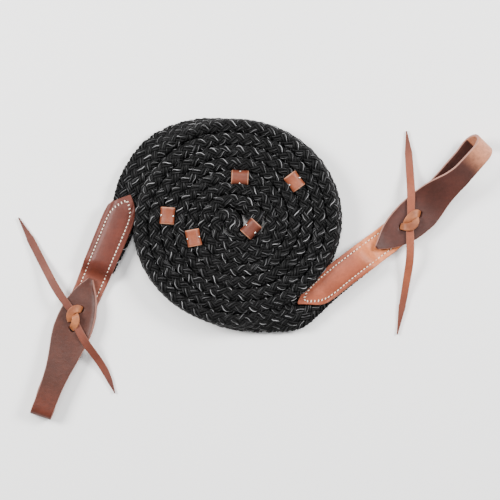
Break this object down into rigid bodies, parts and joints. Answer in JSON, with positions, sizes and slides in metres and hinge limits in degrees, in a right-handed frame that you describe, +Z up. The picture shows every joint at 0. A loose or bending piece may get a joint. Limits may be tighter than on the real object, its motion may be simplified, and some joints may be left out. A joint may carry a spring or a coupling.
{
  "type": "horse riding reins",
  "caption": "One-loop flat braided riding reins wound in a coil, with leather grips and a stitched leather bit end with a laced water loop at each end.",
  "frame": {"origin": "on the ground under the middle of the coil, at the centre of the coil's underside", "axes": "+Z up out of the ground, +X along the longest extent of the two laid-out leather ends, towards the open right-hand loop, +Y completing the frame"},
  "size_m": [0.3671, 0.2325, 0.0255],
  "materials": {
    "braid": "matte, coarse flat braid with thin glinting filaments",
    "grip_leather": "waxed latigo leather",
    "tack_metal": "nickel-plated",
    "strap_leather": "oiled chestnut leather",
    "facing_leather": "oiled chestnut leather",
    "lace_leather": "soft rawhide-coloured leather lace",
    "thread": "waxed thread"
  },
  "bodies": {
    "coil": {"braid_coil": "braid", "grip_centre": "grip_leather", "tacks_centre": "tack_metal", "grip_left_inner": "grip_leather", "tacks_left_inner": "tack_metal", "grip_left_outer": "grip_leather", "tacks_left_outer": "tack_metal", "grip_right_inner": "grip_leather", "tacks_right_inner": "tack_metal", "grip_right_outer": "grip_leather", "tacks_right_outer": "tack_metal"},
    "left_tail": {"braid_left_tail": "braid"},
    "left_end": {"left_pocket_braid": "braid", "left_strap": "strap_leather", "left_facing": "facing_leather", "left_lace": "lace_leather", "left_stitching": "thread"},
    "right_tail": {"braid_right_tail": "braid"},
    "right_end": {"right_pocket_braid": "braid", "right_strap": "strap_leather", "right_facing": "facing_leather", "right_lace": "lace_leather", "right_stitching": "thread"}
  },
  "joints": [
    {"name": "left_peel", "type": "hinge", "parent": "coil", "child": "left_tail", "pos_m": [-0.0065, 0.0744, 0.01025], "axis": [0, 0, -1], "range_deg": [0, 60]},
    {"name": "right_peel", "type": "hinge", "parent": "coil", "child": "right_tail", "pos_m": [-0.0258, -0.0708, 0.01025], "axis": [0, 0, -1], "range_deg": [0, 60]},
    {"name": "left_lift", "type": "hinge", "parent": "left_tail", "child": "left_end", "pos_m": [-0.08261, 0.0285, 0.006], "axis": [-0.9171, 0.3987, 0], "range_deg": [0, 75]},
    {"name": "right_lift", "type": "hinge", "parent": "right_tail", "child": "right_end", "pos_m": [0.05077, -0.07184, 0.006], "axis": [0.6561, -0.7547, 0], "range_deg": [0, 75]}
  ]
}
